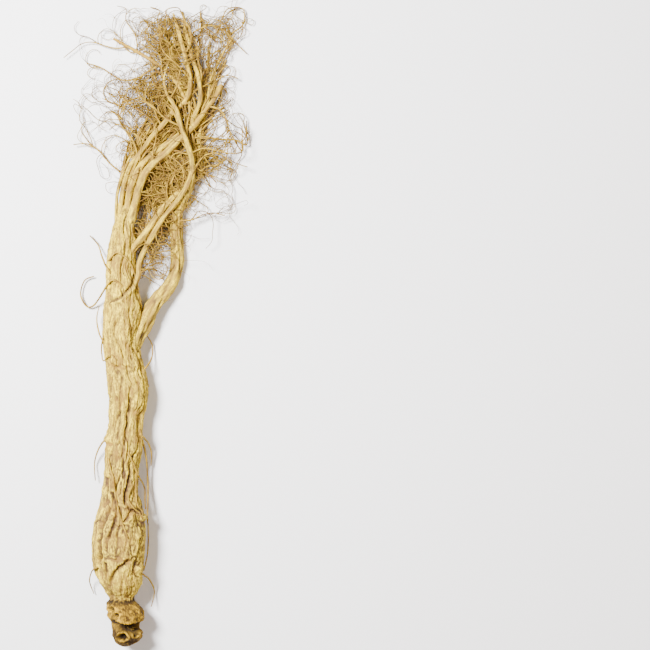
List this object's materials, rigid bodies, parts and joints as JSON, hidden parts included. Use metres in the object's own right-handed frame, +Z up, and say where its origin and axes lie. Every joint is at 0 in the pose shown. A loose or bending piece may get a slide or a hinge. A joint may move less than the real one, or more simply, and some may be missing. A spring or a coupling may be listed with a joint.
{
  "type": "ginseng root",
  "caption": "Whole dried ginseng root with a knobbly rhizome head, a ridged main root, a side branch and a long beard of thin branch roots, lying on its side.",
  "frame": {"origin": "on the surface that the root rests on, below the middle of its box", "axes": "+Y from the rhizome head towards the tips of the beard, +Z up from the surface, +X to the side that the side branch grows on"},
  "size_m": [0.0679, 0.2346, 0.0166],
  "materials": {
    "root_skin": "dry, matt, wrinkled pale cream skin with tan furrows and brown scars"
  },
  "bodies": {
    "root": {"ginseng_root": "root_skin"}
  },
  "joints": []
}
